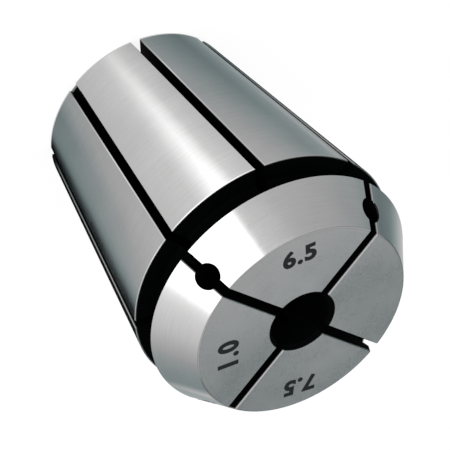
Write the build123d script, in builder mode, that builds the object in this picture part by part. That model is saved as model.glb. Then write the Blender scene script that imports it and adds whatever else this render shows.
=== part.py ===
"""A one-piece spring collet with an 8 degree body and a 30 degree nose.

The blank is one turned piece of spring steel: a long body that tapers towards the rear end, a square
groove for the puller ring of the clamping nut, and a short nose collar with the steeper front cone.
Eight saw cuts turn it into a spring. The nose cuts run the whole length of the outside and leave
four webs beside the bore at the rear end. The rear cuts lie half way between them, run up into the
groove and leave four webs in the nose. A hole is drilled square into the front cone at each nose cut.

Frame: the origin is the centre of the rear face, and +Z runs along the bore towards the nose.
Lengths are in millimetres and angles in degrees.
"""

import os
from math import cos, radians, sin, sqrt, tan

from build123d import *

# Body
body_length = 31.0
body_diameter = 33.0
body_half_angle = 8.0

# Groove behind the nose
groove_width = 3.5
groove_diameter = 27.4
groove_corner_radius = 0.4

# Nose collar
collar_length = 5.5
collar_diameter = 32.8
nose_half_angle = 30.0

# Broken edge round each rim of the turned outline
rim_chamfer = 0.1

# Bore
bore_diameter = 7.5
bore_chamfer = 0.5

# Saw cuts
cut_count = 4
cut_width = 1.15
cut_edge_break = 0.12
saw_diameter = 63.0
rear_rim_cut_depth = 0.3
nose_web_length = 4.0

# Holes drilled square into the front cone
hole_diameter = 3.0
hole_from_face = 2.4
hole_depth = 5.0
drill_point_angle = 118.0

# How far a cutting tool reaches past the steel
overrun = 0.5

# Sizes that follow from those above
overall_length = body_length + groove_width + collar_length
collar_back = body_length + groove_width
body_radius = body_diameter / 2
rear_radius = body_radius - body_length * tan(radians(body_half_angle))
groove_radius = groove_diameter / 2
collar_radius = collar_diameter / 2
face_radius = collar_radius - collar_length * tan(radians(nose_half_angle))
bore_radius = bore_diameter / 2
saw_radius = saw_diameter / 2
hole_radius = hole_diameter / 2
cut_step = 360 / cut_count

# Corners of the turned outline, as (distance from the axis, height)
rear_centre = (0, 0)
rear_rim = (rear_radius, 0)
body_rim = (body_radius, body_length)
groove_back = (groove_radius, body_length)
groove_front = (groove_radius, collar_back)
collar_rim = (collar_radius, collar_back)
face_rim = (face_radius, overall_length)
face_centre = (0, overall_length)


def edge_breaker(start, end):
    """A bar with sloping sides along a line of the outline, which breaks both edges of a cut there.

    The line runs with the steel on its left, seen from -Y, so the narrow side of the bar lies in the
    cut, inside its walls.
    """
    line_start = Plane.XZ.from_local_coords(start)
    line_end = Plane.XZ.from_local_coords(end)
    along = (line_end - line_start).normalized()
    bar_length = (line_end - line_start).length + 2 * overrun
    bar_start = line_start - along * overrun
    narrow_depth = 2 * cut_edge_break
    narrow_reach = cut_width / 2 - cut_edge_break
    wide_reach = cut_width / 2 + cut_edge_break + overrun
    with BuildPart() as breaker:
        with BuildSketch(Plane(origin=bar_start, x_dir=(0, 1, 0), z_dir=along)):
            with BuildLine():
                Polyline(
                    (narrow_reach, narrow_depth),
                    (wide_reach, -overrun),
                    (-wide_reach, -overrun),
                    (-narrow_reach, narrow_depth),
                    close=True,
                )
            make_face()
        extrude(amount=bar_length)
    return breaker.part


# Drill, with its mouth at the origin of its own frame and its point downwards
with BuildPart() as drill:
    point_length = hole_radius / tan(radians(drill_point_angle / 2))
    with BuildSketch(Plane.XZ):
        with BuildLine():
            Polyline(
                (0, -hole_depth - point_length),
                (hole_radius, -hole_depth),
                (hole_radius, 0),
                (hole_radius + overrun, overrun),
                (0, overrun),
                close=True,
            )
        make_face()
    revolve(axis=Axis.Z)

# Nose cut: the blade stands over the side of the body, as deep as the axis, and runs back from the
# nose. It stops where its round edge still cuts the rear rim to the wanted depth.
with BuildPart() as nose_cut:
    rear_floor_radius = rear_radius - rear_rim_cut_depth
    blade_centre_height = sqrt(saw_radius**2 - (saw_radius - rear_floor_radius) ** 2)
    with BuildSketch(Plane.XZ):
        with Locations((saw_radius, blade_centre_height)):
            Circle(saw_radius)
            Rectangle(saw_diameter, overall_length, align=(Align.CENTER, Align.MIN))
    extrude(amount=cut_width / 2, both=True)

    add(edge_breaker(rear_rim, body_rim))
    add(edge_breaker(collar_rim, face_rim))
    add(edge_breaker(face_rim, face_centre))

    hole_centre_radius = face_radius + hole_from_face * tan(radians(nose_half_angle))
    hole_mouth = (hole_centre_radius, 0, overall_length - hole_from_face)
    cone_normal = (cos(radians(nose_half_angle)), 0, sin(radians(nose_half_angle)))
    with Locations(Plane(origin=hole_mouth, z_dir=cone_normal)):
        add(drill.part)

# Rear cut: the blade is centred on the axis and runs forward from the rear face, so that its round
# edge leaves the web in the nose. Only the half on this side of the axis is kept.
with BuildPart() as rear_cut:
    blade_tip_height = overall_length - nose_web_length
    with BuildSketch(Plane.XZ):
        with Locations((0, blade_tip_height - saw_radius)):
            Circle(saw_radius)
            Rectangle(saw_diameter, overall_length, align=(Align.CENTER, Align.MAX))
        split(bisect_by=Plane.YZ)
    extrude(amount=cut_width / 2, both=True)

    add(edge_breaker(rear_centre, rear_rim))
    add(edge_breaker(rear_rim, body_rim))

with BuildPart() as collet:
    with BuildSketch(Plane.XZ):
        with BuildLine():
            Polyline(
                rear_centre,
                rear_rim,
                body_rim,
                groove_back,
                groove_front,
                collar_rim,
                face_rim,
                face_centre,
                close=True,
            )
        make_face()
    revolve(axis=Axis.Z)

    rings = collet.edges().filter_by(GeomType.CIRCLE).group_by(Axis.Z)
    rear_ring, back_rings, front_rings, face_ring = [level.sort_by(SortBy.RADIUS) for level in rings]
    fillet([back_rings.first, front_rings.first], groove_corner_radius)
    chamfer([rear_ring.last, back_rings.last, front_rings.last, face_ring.last], rim_chamfer)

    Hole(bore_radius)
    bore_mouths = collet.edges(Select.LAST).filter_by(GeomType.CIRCLE)
    chamfer(bore_mouths, bore_chamfer)

    with PolarLocations(0, cut_count):
        add(nose_cut.part, mode=Mode.SUBTRACT)
    with PolarLocations(0, cut_count, start_angle=cut_step / 2):
        add(rear_cut.part, mode=Mode.SUBTRACT)

collet.part.label = "collet"

os.makedirs("parts", exist_ok=True)
export_step(collet.part, "parts/collet.step")
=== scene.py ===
"""Looks for the one-piece spring collet: finish of the steel, etched numbers and the studio.

Every length in the mesh code is in metres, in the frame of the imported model: the origin is the centre
of the rear face and +Z runs along the bore towards the nose.
"""

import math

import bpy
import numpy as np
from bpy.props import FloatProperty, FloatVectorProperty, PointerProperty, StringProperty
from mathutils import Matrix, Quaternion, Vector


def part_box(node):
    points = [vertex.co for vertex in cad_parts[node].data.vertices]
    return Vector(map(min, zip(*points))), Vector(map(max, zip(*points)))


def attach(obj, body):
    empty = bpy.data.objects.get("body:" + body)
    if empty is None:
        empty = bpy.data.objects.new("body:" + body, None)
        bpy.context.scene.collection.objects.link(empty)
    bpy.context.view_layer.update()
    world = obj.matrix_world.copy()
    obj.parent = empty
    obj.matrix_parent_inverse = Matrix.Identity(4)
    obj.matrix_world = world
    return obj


bl_info = {
    "name": "Spring Collet Looks",
    "version": (1, 0, 0),
    "blender": (4, 5, 0),
    "location": "3D View > Sidebar > Collet",
    "description": "Ground steel finish, etched numbers and a plain studio for the spring collet",
    "category": "Object",
}

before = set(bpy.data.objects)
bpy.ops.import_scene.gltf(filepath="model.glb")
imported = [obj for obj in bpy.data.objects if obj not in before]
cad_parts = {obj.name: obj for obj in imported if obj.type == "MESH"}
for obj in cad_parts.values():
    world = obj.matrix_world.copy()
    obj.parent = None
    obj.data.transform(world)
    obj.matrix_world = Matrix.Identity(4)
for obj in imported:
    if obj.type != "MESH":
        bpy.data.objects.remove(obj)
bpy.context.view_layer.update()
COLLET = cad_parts["collet"]
FACE_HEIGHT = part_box("collet")[1].z
MM = 0.001


def srgb(code):
    """Turns a hex colour such as "c5c6c4" into linear red, green, blue."""
    channels = [int(code[i:i + 2], 16) / 255 for i in (0, 2, 4)]
    return tuple(c / 12.92 if c <= 0.04045 else ((c + 0.055) / 1.055) ** 2.4 for c in channels)


def add_node(tree, kind, inputs=None, **settings):
    """Adds a node, sets its settings, and gives each named or numbered input a link or a value."""
    node = tree.nodes.new(kind)
    for name, value in settings.items():
        setattr(node, name, value)
    for name, value in (inputs or {}).items():
        socket = node.inputs[name]
        if isinstance(value, bpy.types.NodeSocket):
            tree.links.new(value, socket)
        else:
            socket.default_value = value
    return node


def math_node(tree, operation, *values):
    """Adds a Math node and returns its result."""
    return add_node(tree, "ShaderNodeMath", dict(enumerate(values)), operation=operation).outputs[0]


def remap(tree, value, old, new, smooth=False):
    """Maps a value from the old range to the new one, clamped."""
    ranges = dict(zip(("From Min", "From Max", "To Min", "To Max"), (*old, *new)))
    kind = "SMOOTHSTEP" if smooth else "LINEAR"
    inputs = {"Value": value, **ranges}
    return add_node(tree, "ShaderNodeMapRange", inputs, interpolation_type=kind).outputs[0]


def mix_colour(tree, factor, first, second):
    """Blends two colours; a Mix node set to colours has them at sockets 6 and 7, and its result at 2."""
    inputs = {0: factor, 6: first, 7: second}
    return add_node(tree, "ShaderNodeMix", inputs, data_type="RGBA").outputs[2]


def new_tree(owner):
    """Empties the node tree of a material or world and returns it."""
    owner.use_nodes = True
    owner.node_tree.nodes.clear()
    return owner.node_tree


def mesh_object(name, points, faces):
    """Makes an object at the origin from an array of points and a list of faces."""
    mesh = bpy.data.meshes.new(name)
    mesh.from_pydata(points.tolist(), [], faces)
    mesh.update()
    piece = bpy.data.objects.new(name, mesh)
    bpy.context.scene.collection.objects.link(piece)
    return piece


class FinishSettings(bpy.types.PropertyGroup):
    """Colours and roughness of the ground steel and of the near-black painted shade in its groove, cuts,
    holes and bore.
    """

    steel_colour: FloatVectorProperty(
        name="Steel",
        description="Colour of the ground spring steel",
        default=srgb("c5c4c4"),
        subtype="COLOR",
        min=0,
        max=1,
    )
    # Near black painted as shade into the groove, cuts, holes and bore, in place of the shade that falls
    # there.
    hollow_shade_colour: FloatVectorProperty(
        name="Scale",
        description="Colour of the dark hardening scale left in the groove, cuts, holes and bore",
        default=srgb("020303"),
        subtype="COLOR",
        min=0,
        max=1,
    )
    # Deeper than this below the outline, and inside the bore, the colour goes over to the painted shade of
    # the hollows.
    skin_depth: FloatProperty(
        name="Ground depth",
        description="How far below the turned outline the steel is still bright",
        default=0.16 * MM,
        unit="LENGTH",
    )
    # Painted shade on the edge breaks and rims: their colour is the steel colour times this, which dims their
    # reflections.
    edge_shade: FloatProperty(
        name="Broken edges",
        description="How bright the filed edge breaks are against the ground steel",
        default=0.6,
        subtype="FACTOR",
        min=0,
        max=1,
    )
    body_roughness: FloatProperty(
        name="Body roughness",
        description="Roughness of the ground body and nose cone",
        default=0.15,
        subtype="FACTOR",
        min=0,
        max=1,
    )
    face_roughness: FloatProperty(
        name="Face roughness",
        description="Roughness of the turned end faces",
        default=0.3,
        subtype="FACTOR",
        min=0,
        max=1,
    )
    # Roughness of the hollows that carry the painted shade.
    hollow_roughness: FloatProperty(
        name="Scale roughness",
        description="Roughness of the dark scale",
        default=0.7,
        subtype="FACTOR",
        min=0,
        max=1,
    )


# The turned outline, in millimetres from the centre of the rear face.
BODY_REAR_RADIUS = 12.143
BODY_SLOPE = math.tan(math.radians(8))
COLLAR_BACK = 34.5
COLLAR_RADIUS = 16.4
NOSE_SLOPE = math.tan(math.radians(30))
BORE_MOUTH_RADIUS = 4.25
FACE_MM = FACE_HEIGHT / MM

# Depths below the outline, and radii at the bore, over which one finish gives way to the next; past the bore
# radii the bore goes over to painted shade, and the rim and break depths bound the painted edge shade.
FACED_DEPTHS = (0.03, 0.06)
RIM_DEPTHS = (0.12, 0.15)
BREAK_DEPTHS = (0.04, 0.07)
BORE_MOUTH_RADII = (BORE_MOUTH_RADIUS - 0.04, BORE_MOUTH_RADIUS + 0.02)

# Grinding lines are a few hundredths of a millimetre apart; they are drawn 0.25 mm apart so as to show.
LINE_SPACING = 0.25
LINES_PER_RADIAN = 2.5
# Sizes of the fine mottle and of the broad one, both in millimetres.
GRAIN_SIZE = 0.3
CLOUD_SIZE = 5
RELIEF_HEIGHT = 0.004 * MM


def noise(tree, place, scale, detail, roughness=0.5):
    """Adds a Noise texture and returns its value; the scale is one over the size of its grains."""
    inputs = {"Vector": place, "Scale": scale, "Detail": detail, "Roughness": roughness}
    return add_node(tree, "ShaderNodeTexNoise", inputs).outputs["Fac"]


def about_the_axis(tree, in_mm):
    """Radius, turn and height of a point, as a lathe would measure them."""
    flat = add_node(tree, "ShaderNodeVectorMath", {0: in_mm, 1: (1, 1, 0)}, operation="MULTIPLY").outputs[0]
    radius = add_node(tree, "ShaderNodeVectorMath", {0: flat}, operation="LENGTH").outputs["Value"]
    axes = add_node(tree, "ShaderNodeSeparateXYZ", {0: in_mm}).outputs
    return radius, math_node(tree, "ARCTAN2", axes["Y"], axes["X"]), axes["Z"]


def finish_masks(tree, radius, height, skin):
    """Masks from the depth below the turned outline: ground steel, beyond which lies the painted shade of the
    hollows, turned end, and painted edge shade.

    The skin is how deep bright steel goes, in millimetres.
    """
    body_line = math_node(tree, "MULTIPLY_ADD", height, BODY_SLOPE, BODY_REAR_RADIUS)
    nose_foot = COLLAR_RADIUS + COLLAR_BACK * NOSE_SLOPE
    nose_line = math_node(tree, "MULTIPLY_ADD", height, -NOSE_SLOPE, nose_foot)
    outline = math_node(tree, "MINIMUM", body_line, nose_line)
    side_depth = math_node(tree, "SUBTRACT", outline, radius)
    end_depth = math_node(tree, "MINIMUM", math_node(tree, "SUBTRACT", FACE_MM, height), height)
    depth = math_node(tree, "MINIMUM", side_depth, end_depth)

    # Bright steel within the skin; deeper down, and inside the bore, the painted shade of the hollows takes
    # over, with no metal.
    outer = remap(tree, depth, (0.75 * skin, 1.25 * skin), (1, 0), smooth=True)
    ground = math_node(tree, "MULTIPLY", outer, remap(tree, radius, BORE_MOUTH_RADII, (0, 1)))
    turned_end = remap(tree, end_depth, FACED_DEPTHS, (1, 0))
    # Painted shade on the rims and on the edge breaks, darkening their reflections.
    rim = remap(tree, math_node(tree, "MAXIMUM", side_depth, end_depth), RIM_DEPTHS, (1, 0))
    painted_edge_shade = math_node(tree, "MAXIMUM", rim, remap(tree, depth, BREAK_DEPTHS, (0, 1)))
    return ground, turned_end, painted_edge_shade


def grinding_lines(tree, radius, turn, height):
    """Fine lines round the axis: noise drawn out round the collet, with its lines close together along it."""
    across = math_node(tree, "MULTIPLY", math_node(tree, "SUBTRACT", height, radius), 1 / LINE_SPACING)
    along = math_node(tree, "MULTIPLY", turn, LINES_PER_RADIAN)
    place = add_node(tree, "ShaderNodeCombineXYZ", {0: across, 1: along, 2: 0}).outputs[0]
    return noise(tree, place, 1, 3, 0.6)


def dress_steel(material, finish):
    """Hardened spring steel, ground bright outside, with near-black painted shade where no wheel can reach.

    Grinding leaves fine lines round the axis, so reflections are clean across the lines and drawn out
    along the axis; the faced ends are turned, which leaves a duller satin of fine rings. The edge breaks
    and rims are painted darker, painted shade that dims their reflections. The painted shade in the hollows
    is near black and matt. The bright part is what lies within the ground depth of the turned outline.
    """
    tree = new_tree(material)
    place = add_node(tree, "ShaderNodeTexCoord").outputs["Object"]
    in_mm = add_node(tree, "ShaderNodeVectorMath", {0: place, "Scale": 1 / MM}, operation="SCALE").outputs[0]
    radius, turn, height = about_the_axis(tree, in_mm)
    ground, turned_end, painted_edge_shade = finish_masks(tree, radius, height, finish.skin_depth / MM)
    lines = grinding_lines(tree, radius, turn, height)
    grain = noise(tree, in_mm, 1 / GRAIN_SIZE, 2, 0.6)
    cloud = noise(tree, in_mm, 1 / CLOUD_SIZE, 3, 0.55)

    steel = tuple(finish.steel_colour)
    darker = tuple(0.96 * c for c in steel)
    lighter = tuple(min(1.03 * c, 1) for c in steel)
    mottle = remap(tree, math_node(tree, "ADD", lines, cloud), (0.75, 1.25), (0, 1))
    bright = mix_colour(tree, mottle, (*darker, 1), (*lighter, 1))
    # Painted shade on the edge breaks and rims.
    edge_shade_colour = tuple(finish.edge_shade * c for c in steel)
    bright = mix_colour(tree, painted_edge_shade, bright, (*edge_shade_colour, 1))
    # Painted shade: the hollows get a near-black colour, mottled by the grain, in place of the shade that
    # falls in them.
    scale = tuple(finish.hollow_shade_colour)
    hollow_shade_light = tuple(2 * c for c in scale)
    dark = mix_colour(tree, remap(tree, grain, (0.35, 0.75), (0, 1)), (*scale, 1), (*hollow_shade_light, 1))
    colour = mix_colour(tree, ground, dark, bright)

    face_extra = finish.face_roughness - finish.body_roughness
    even_rough = math_node(tree, "MULTIPLY_ADD", turned_end, face_extra, finish.body_roughness)
    uneven = remap(tree, math_node(tree, "ADD", cloud, grain), (0.7, 1.3), (-0.05, 0.05))
    ground_rough = math_node(tree, "ADD", even_rough, uneven)
    rough = add_node(
        tree, "ShaderNodeMix", {"Factor": ground, "A": finish.hollow_roughness, "B": ground_rough}
    ).outputs[0]

    relief = math_node(tree, "MULTIPLY_ADD", grain, 0.5, lines)
    bump = add_node(
        tree, "ShaderNodeBump", {"Strength": 0.08, "Distance": RELIEF_HEIGHT, "Height": relief}
    ).outputs[0]
    tangent = add_node(tree, "ShaderNodeTangent", direction_type="RADIAL", axis="Z").outputs[0]
    shader = add_node(
        tree,
        "ShaderNodeBsdfPrincipled",
        {
            "Base Color": colour,
            "Metallic": ground,
            "Roughness": rough,
            "Normal": bump,
            "Tangent": tangent,
            "Specular IOR Level": 0.02,
            "Anisotropic": 0.5,
            "Anisotropic Rotation": 0.25,
        },
    ).outputs[0]
    add_node(tree, "ShaderNodeOutputMaterial", {"Surface": shader})


class COLLET_OT_dress_steel(bpy.types.Operator):
    """Give the collet its ground steel, with painted shade in its hollows and on its edges"""

    bl_idname = "collet.dress_steel"
    bl_label = "Dress Steel"

    def execute(self, context):
        for slot in COLLET.material_slots:
            dress_steel(slot.material, context.scene.collet_finish)
        return {"FINISHED"}


class MarkSettings(bpy.types.PropertyGroup):
    """Plain numbers etched on the nose face: the largest and smallest shank, and the range between them."""

    largest: StringProperty(
        name="Largest shank",
        description="Number etched in the first quarter of the nose face",
        default="7.5",
    )
    smallest: StringProperty(
        name="Smallest shank",
        description="Number etched in the third quarter of the nose face",
        default="6.5",
    )
    clamping_range: StringProperty(
        name="Clamping range",
        description="Number etched in the fourth quarter of the nose face",
        default="1.0",
    )
    colour: FloatVectorProperty(
        name="Etch",
        description="Colour of the etched numbers",
        default=srgb("0c0f10"),
        subtype="COLOR",
        min=0,
        max=1,
    )
    lift: FloatProperty(
        name="Lift",
        description="Height of the etched film above the face",
        default=0.01 * MM,
        unit="LENGTH",
    )


# Grains of the etched film are about 0.02 mm; they are drawn 0.25 mm wide so as to show.
PATCH_SIZE = 0.25 * MM
STROKE_WIDENING = 0.045
LETTER_SPACING = 1.12


def etch_material(marks):
    """Electro-etched oxide on steel: a thin dark grey film, matt, patchy where it let some steel through."""
    material = bpy.data.materials.new("electro_etched_oxide")
    tree = new_tree(material)
    place = add_node(tree, "ShaderNodeTexCoord").outputs["Object"]
    patch = noise(tree, place, 1 / PATCH_SIZE, 2)
    dark = tuple(marks.colour)
    worn = tuple(2.5 * c for c in dark)
    colour = mix_colour(tree, remap(tree, patch, (0.4, 0.75), (0, 1)), (*dark, 1), (*worn, 1))
    rough = remap(tree, patch, (0.3, 0.7), (0.5, 0.7))
    bump = add_node(
        tree, "ShaderNodeBump", {"Strength": 0.3, "Distance": RELIEF_HEIGHT, "Height": patch}
    ).outputs[0]
    shader = add_node(
        tree,
        "ShaderNodeBsdfPrincipled",
        {"Base Color": colour, "Roughness": rough, "Normal": bump, "Specular IOR Level": 0.25},
    ).outputs[0]
    add_node(tree, "ShaderNodeOutputMaterial", {"Surface": shader})
    return material


def etched_number(name, text, centre, turn, height, lift, material):
    """Lays a number flat on the nose face.

    Its digits are scaled to the given height, its middle goes to the centre, and it is turned about +Z.
    """
    curve = bpy.data.curves.new(name, "FONT")
    curve.body = text
    curve.resolution_u = 4
    curve.offset = STROKE_WIDENING
    curve.space_character = LETTER_SPACING
    pattern = bpy.data.objects.new(name + "_pattern", curve)
    bpy.context.scene.collection.objects.link(pattern)
    bpy.context.view_layer.update()
    mesh = bpy.data.meshes.new_from_object(pattern.evaluated_get(bpy.context.evaluated_depsgraph_get()))
    bpy.data.objects.remove(pattern)
    bpy.data.curves.remove(curve)

    points = np.empty(3 * len(mesh.vertices))
    mesh.vertices.foreach_get("co", points)
    points = points.reshape(-1, 3)
    low, high = points.min(0), points.max(0)
    flat = (points[:, :2] - (low + high)[:2] / 2) * height / (high[1] - low[1])
    cosine, sine = math.cos(turn), math.sin(turn)
    turned = flat @ np.array([[cosine, sine], [-sine, cosine]]) + np.array(centre)
    placed = np.column_stack([turned, np.full(len(turned), FACE_HEIGHT + lift)])
    mesh.vertices.foreach_set("co", placed.ravel())
    mesh.update()
    mesh.name = name
    mesh.materials.clear()
    mesh.materials.append(material)
    piece = bpy.data.objects.new(name, mesh)
    bpy.context.scene.collection.objects.link(piece)
    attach(piece, "root")
    return piece


class COLLET_OT_etch_numbers(bpy.types.Operator):
    """Etch the plain numbers on the nose face"""

    bl_idname = "collet.etch_numbers"
    bl_label = "Etch Numbers"

    def execute(self, context):
        marks = context.scene.collet_marks
        material = etch_material(marks)
        # Centres and heights are in millimetres, and turns in degrees.
        layout = (
            ("number_largest", marks.largest, (7.65, 6.85), -53, 2.5),
            ("number_smallest", marks.smallest, (-7.3, -7.5), 136, 2.6),
            ("number_range", marks.clamping_range, (6.9, -6.5), -138, 2.7),
        )
        for name, text, centre, turn, height in layout:
            centre = [MM * c for c in centre]
            etched_number(name, text, centre, math.radians(turn), MM * height, marks.lift, material)
        return {"FINISHED"}


class StudioSettings(bpy.types.PropertyGroup):
    """Camera and lamps."""

    camera_azimuth: FloatProperty(
        name="Camera azimuth",
        description="Bearing of the camera round the collet, from straight in front",
        default=math.radians(-20.48),
        subtype="ANGLE",
    )
    camera_elevation: FloatProperty(
        name="Camera elevation",
        description="Height of the camera above the horizon",
        default=math.radians(39.98),
        subtype="ANGLE",
    )
    camera_roll: FloatProperty(
        name="Camera roll",
        description="Turn of the camera about its own line of sight",
        default=math.radians(141.79),
        subtype="ANGLE",
    )
    camera_distance: FloatProperty(
        name="Camera distance",
        description="From the camera to the point that it looks at",
        default=0.316,
        unit="LENGTH",
    )
    camera_aim: FloatVectorProperty(
        name="Camera aim",
        description="Point that the camera looks at",
        default=(0.00048, 0.0009, 0.02104),
        subtype="TRANSLATION",
    )
    camera_lens: FloatProperty(
        name="Lens",
        description="Focal length on a 36 mm sensor",
        default=216.1,
        unit="CAMERA",
    )
    key_power: FloatProperty(
        name="Key lamp",
        description="Power of the softbox in front",
        default=1.2,
        unit="POWER",
    )
    fill_power: FloatProperty(
        name="Fill lamp",
        description="Power of the softbox overhead",
        default=1.0,
        unit="POWER",
    )


def set_camera(studio):
    """Looks at the aim from the given bearing, height and distance, then rolls about the line of sight."""
    azimuth, elevation = studio.camera_azimuth, studio.camera_elevation
    back = Vector((
        math.sin(azimuth) * math.cos(elevation),
        -math.cos(azimuth) * math.cos(elevation),
        math.sin(elevation),
    ))
    camera = bpy.data.objects.new("camera", bpy.data.cameras.new("camera"))
    camera.data.lens = studio.camera_lens
    camera.data.sensor_width = 36
    camera.data.clip_start = 0.01
    camera.data.clip_end = 20
    camera.location = Vector(studio.camera_aim) + back * studio.camera_distance
    level = (-back).to_track_quat("-Z", "Y")
    camera.rotation_mode = "QUATERNION"
    camera.rotation_quaternion = level @ Quaternion((0, 0, 1), studio.camera_roll)
    bpy.context.scene.collection.objects.link(camera)
    bpy.context.scene.camera = camera


def seen_directly(tree):
    """1 for rays from the camera, from gloss and through glass, and 0 for those that carry soft light."""
    rays = add_node(tree, "ShaderNodeLightPath").outputs
    seen = math_node(tree, "MAXIMUM", rays["Is Camera Ray"], rays["Is Glossy Ray"])
    return math_node(tree, "MAXIMUM", seen, rays["Is Transmission Ray"])


WHITE = (1, 1, 1, 1)
FLOOR_REACH = 2.0
FLOOR_GLOW = 0.88
SOFT_SKY = 0.5
LAMP_AIM = Vector((0, 0, 0.02))


def pale_floor():
    """A wide pale floor that shows white and keeps a faint shadow of the collet."""
    corners = FLOOR_REACH * np.array([(-1, -1, 0), (1, -1, 0), (1, 1, 0), (-1, 1, 0)])
    floor = mesh_object("floor", corners, [(0, 1, 2, 3)])
    material = bpy.data.materials.new("pale_paper")
    tree = new_tree(material)
    strength = math_node(tree, "MULTIPLY", seen_directly(tree), FLOOR_GLOW)
    glow = add_node(tree, "ShaderNodeEmission", {"Strength": strength}).outputs[0]
    paper = add_node(tree, "ShaderNodeBsdfDiffuse", {"Color": (*srgb("808080"), 1)}).outputs[0]
    both = add_node(tree, "ShaderNodeAddShader", {0: glow, 1: paper}).outputs[0]
    add_node(tree, "ShaderNodeOutputMaterial", {"Surface": both})
    floor.data.materials.append(material)


def white_world():
    """White where it is seen, and half as strong as a soft light."""
    world = bpy.data.worlds.new("studio")
    bpy.context.scene.world = world
    tree = new_tree(world)
    strength = remap(tree, seen_directly(tree), (0, 1), (SOFT_SKY, 1))
    sky = add_node(tree, "ShaderNodeBackground", {"Color": WHITE, "Strength": strength}).outputs[0]
    add_node(tree, "ShaderNodeOutputWorld", {"Surface": sky})


def area_lamp(name, centre, size, power):
    """A square softbox that faces the collet; the cards, and not the lamps, show in the steel."""
    lamp = bpy.data.lights.new(name, "AREA")
    lamp.size = size
    lamp.energy = power
    holder = bpy.data.objects.new(name, lamp)
    holder.location = centre
    holder.rotation_mode = "QUATERNION"
    holder.rotation_quaternion = (LAMP_AIM - Vector(centre)).to_track_quat("-Z", "Y")
    holder.visible_glossy = False
    bpy.context.scene.collection.objects.link(holder)


# Dim cards are slightly cool, and go over to white between these two levels.
COOL_TINT = (0.83, 1.05, 1.07, 1)
TINT_LEVELS = (0.3, 0.62)


def reflection_card(name, points, levels, faces):
    """A glowing card that only reflections see; its level is blended between its corners."""
    card = mesh_object(name, points, faces)
    attribute = card.data.attributes.new("level", "FLOAT", "POINT")
    attribute.data.foreach_set("value", np.asarray(levels, np.float32))
    material = bpy.data.materials.new(name)
    tree = new_tree(material)
    level = add_node(tree, "ShaderNodeAttribute", attribute_name="level").outputs["Fac"]
    tint = mix_colour(tree, remap(tree, level, TINT_LEVELS, (0, 1)), COOL_TINT, WHITE)
    glow = add_node(tree, "ShaderNodeEmission", {"Color": tint, "Strength": level}).outputs[0]
    add_node(tree, "ShaderNodeOutputMaterial", {"Surface": glow})
    card.data.materials.append(material)
    for kind in ("camera", "diffuse", "transmission", "volume_scatter", "shadow"):
        setattr(card, "visible_" + kind, False)


def grid_faces(rows, columns):
    """Four-cornered faces of a grid of points that is listed row by row."""
    index = np.arange(rows * columns).reshape(rows, columns)
    corners = index[:-1, :-1], index[1:, :-1], index[1:, 1:], index[:-1, 1:]
    return np.stack(corners, -1).reshape(-1, 4).tolist()


def on_circle(radius, bearing, height):
    """Points at the given bearings, in degrees, on a level circle round the bore."""
    turn = np.radians(bearing)
    return np.column_stack([radius * np.cos(turn), radius * np.sin(turn), np.full(len(turn), height)])


def floor_fan(name, rays, foot_radius, far_radius, between=8, steps=13):
    """Cards fanned out on the floor round the foot of the collet.

    Point (s, t) is (1-t) foot + t far, where both ends lie on their circles at the bearings of ray s, and its
    level is blended likewise. Bearings and levels go straight from one listed ray to the next.
    """
    place = np.linspace(0, len(rays) - 1, between * (len(rays) - 1) + 1)
    foot, far, near_level, far_level = (
        np.interp(place, np.arange(len(rays)), column) for column in np.array(rays, float).T
    )
    t = np.linspace(0, 1, steps)[:, None]
    feet = on_circle(foot_radius, foot, CARD_HEIGHT)[:, None]
    points = (1 - t) * feet + t * on_circle(far_radius, far, CARD_HEIGHT)[:, None]
    levels = (1 - t[:, 0]) * near_level[:, None] + t[:, 0] * far_level[:, None]
    reflection_card(name, points.reshape(-1, 3), levels.ravel(), grid_faces(len(place), steps))


def upright_card(name, ends, rows):
    """An upright card between two ends.

    Point (s, h) is (1-s) A + s B at height h, where A and B are the ends, in millimetres; its level goes
    straight from one (height, level) row to the next.
    """
    corners = [(*end, height) for height, level in rows for end in ends]
    levels = [level for height, level in rows for end in ends]
    reflection_card(name, MM * np.array(corners, float), levels, grid_faces(len(rows), len(ends)))


def tent_wall(name, stops, low, high, steps=181):
    """A band of the upright tent round the collet, from the first stop's bearing to the last one's.

    Point (a, h) is (radius cos a, radius sin a, h), with h from low to high; its level goes straight from
    one (bearing, level) stop to the next.
    """
    stop_bearings, stop_levels = np.array(stops, float).T
    bearing = np.linspace(stop_bearings[0], stop_bearings[-1], steps)
    level = np.interp(bearing, stop_bearings, stop_levels)
    points = np.concatenate([on_circle(TENT_RADIUS, bearing, low), on_circle(TENT_RADIUS, bearing, high)])
    reflection_card(name, points, np.tile(level, 2), grid_faces(2, steps))


CARD_HEIGHT = 0.3 * MM
FAN_FOOT = 11.3 * MM
FAN_FAR = 60 * MM
TENT_RADIUS = 90 * MM
TENT_SHOULDER = 40 * MM
TENT_TOP = 80 * MM
CANOPY_TOP = 120 * MM

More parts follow.
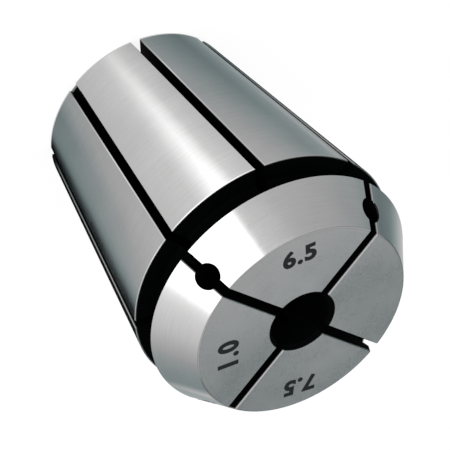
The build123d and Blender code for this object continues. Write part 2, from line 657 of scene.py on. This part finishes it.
# Each ray has the bearings of its foot and far end, then its level at both. Levels above 1.8 show as white.
FLOOR_RAYS = (
    (190, 95, 0.02, 0.03), (198, 119, 0.02, 0.05), (199, 120.5, 0.42, 0.55), (204, 126, 0.42, 0.72),
    (207, 132, 0.33, 0.48), (209, 150, 0.23, 0.5), (215, 171, 0.31, 0.73), (226, 197, 0.46, 0.95),
    (229, 205, 0.7, 0.98), (238, 224, 0.95, 1.3), (241, 231, 1.08, 2.5), (243.5, 236.5, 1.15, 3.0),
    (247, 243, 1.0, 2.3), (250, 250, 0.94, 1.5), (253, 257, 0.93, 1.12), (265, 283, 0.8, 1.0),
    (267, 288, 0.55, 1.0), (274, 304, 0.5, 1.0), (282, 324, 0.3, 0.92), (290, 343, 0.3, 0.68),
    (292, 353, 0.24, 0.45), (293, 361, 0.05, 0.2), (294, 366, 0.0, 0.03), (330, 410, 0.0, 0.0),
    (380, 415, 0.0, 0.0), (415, 420, 0.03, 0.03), (440, 428, 0.2, 0.2), (480, 440, 0.4, 0.5),
    (520, 452, 0.3, 0.4), (550, 455, 0.02, 0.03),
)
# The apron goes on from the far end of the fan to the tent, where the edges of the nose cone reflect it.
APRON_RAYS = (
    (15, 15, 0.4, 0.4), (38, 38, 0.42, 0.42), (48, 48, 0.5, 0.5), (60, 60, 0.6, 0.6), (92, 92, 0.62, 0.62),
    (102, 102, 0.58, 0.55), (110, 110, 0.5, 0.4), (130, 130, 0.5, 0.4),
)
# Each stop has a bearing and a level.
TENT_STOPS = (
    (0, 0.52), (12, 0.42), (26, 0.35), (34, 0.7), (48, 0.45), (84, 0.3), (90, 0.6), (104, 0.5),
    (116, 0.3), (128, 0.25), (150, 0.5), (180, 0.62), (212, 0.72), (232, 0.92), (239, 1.0), (244, 2.6),
    (301, 2.6), (310, 1.4), (318, 1.15), (334, 0.95), (350, 0.68), (360, 0.52),
)
# Below its shoulder the tent is no brighter than this, so that no edge of the body fades into the white.
TENT_FOOT_LIMIT = 0.9
# Above the tent is a canopy, which the front rim of the body reflects.
CANOPY_STOPS = ((205, 1.0), (212, 1.9), (235, 2.5), (268, 2.5), (277, 1.9), (287, 1.0))
# The nose face reflects this card, which is dim low down and pale higher up.
FACE_CARD_ENDS = ((84, 50), (-10, 97))
FACE_CARD_ROWS = ((50, 0.26), (106, 0.24), (117, 0.74), (200, 0.66))


class COLLET_OT_set_stage(bpy.types.Operator):
    """Put the collet on a pale floor in soft light, with the camera in place"""

    bl_idname = "collet.set_stage"
    bl_label = "Set Stage"

    def execute(self, context):
        studio = context.scene.collet_studio
        set_camera(studio)
        pale_floor()
        white_world()
        area_lamp("key_softbox", centre=(0.1, -0.6, 0.5), size=0.5, power=studio.key_power)
        area_lamp("fill_softbox", centre=(-0.2, 0.1, 0.9), size=0.8, power=studio.fill_power)
        floor_fan("floor_fan", FLOOR_RAYS, FAN_FOOT, FAN_FAR)
        floor_fan("floor_apron", APRON_RAYS, FAN_FAR, TENT_RADIUS)
        dimmed = [(bearing, min(level, TENT_FOOT_LIMIT)) for bearing, level in TENT_STOPS]
        tent_wall("tent_foot", dimmed, 0, TENT_SHOULDER)
        tent_wall("tent_wall", TENT_STOPS, TENT_SHOULDER, TENT_TOP)
        tent_wall("tent_canopy", CANOPY_STOPS, TENT_TOP, CANOPY_TOP)
        upright_card("face_card", FACE_CARD_ENDS, FACE_CARD_ROWS)
        context.scene.view_settings.view_transform = "Standard"
        return {"FINISHED"}


class COLLET_PT_looks(bpy.types.Panel):
    """Lists the pieces of the collet's looks"""

    bl_idname = "COLLET_PT_looks"
    bl_label = "Collet"
    bl_space_type = "VIEW_3D"
    bl_region_type = "UI"
    bl_category = "Collet"

    def draw(self, context):
        for operator, group in (
            (COLLET_OT_dress_steel, context.scene.collet_finish),
            (COLLET_OT_etch_numbers, context.scene.collet_marks),
            (COLLET_OT_set_stage, context.scene.collet_studio),
        ):
            column = self.layout.column()
            column.operator(operator.bl_idname)
            for name in group.__annotations__:
                column.prop(group, name)


CLASSES = (
    FinishSettings,
    MarkSettings,
    StudioSettings,
    COLLET_OT_dress_steel,
    COLLET_OT_etch_numbers,
    COLLET_OT_set_stage,
    COLLET_PT_looks,
)


def register():
    for cls in CLASSES:
        bpy.utils.register_class(cls)
    bpy.types.Scene.collet_finish = PointerProperty(type=FinishSettings)
    bpy.types.Scene.collet_marks = PointerProperty(type=MarkSettings)
    bpy.types.Scene.collet_studio = PointerProperty(type=StudioSettings)


def unregister():
    del bpy.types.Scene.collet_studio
    del bpy.types.Scene.collet_marks
    del bpy.types.Scene.collet_finish
    for cls in reversed(CLASSES):
        bpy.utils.unregister_class(cls)


def main():
    register()
    bpy.ops.collet.dress_steel()
    bpy.ops.collet.etch_numbers()
    bpy.ops.collet.set_stage()


if __name__ == "__main__":
    main()
